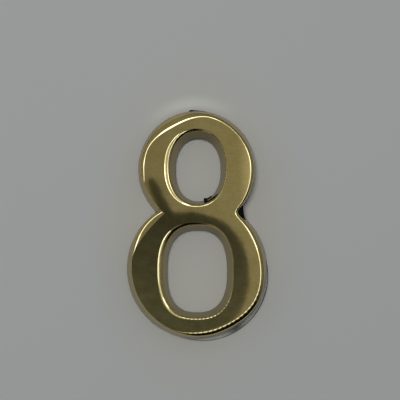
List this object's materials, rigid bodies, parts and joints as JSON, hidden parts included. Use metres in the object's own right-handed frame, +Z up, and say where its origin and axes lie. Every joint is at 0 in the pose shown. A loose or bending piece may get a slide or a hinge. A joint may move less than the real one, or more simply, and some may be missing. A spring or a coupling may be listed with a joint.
{
  "type": "adhesive door number",
  "caption": "Polished cast brass figure 8 with drafted walls and a rolled rim, on a black foam adhesive pad with a clear release liner.",
  "frame": {"origin": "middle of the figure's height and width, on the back plane that meets the door", "axes": "+Y into the door, square to the back plane; +Z up the figure; +X to the reader's right"},
  "size_m": [0.031, 0.0056, 0.0506],
  "materials": {
    "polished_brass": "polished",
    "black_foam": "matte closed-cell foam",
    "clear_film": "clear gloss film"
  },
  "bodies": {
    "root": {"numeral": "polished_brass", "adhesive_pad": "black_foam", "release_liner": "clear_film"}
  },
  "joints": []
}
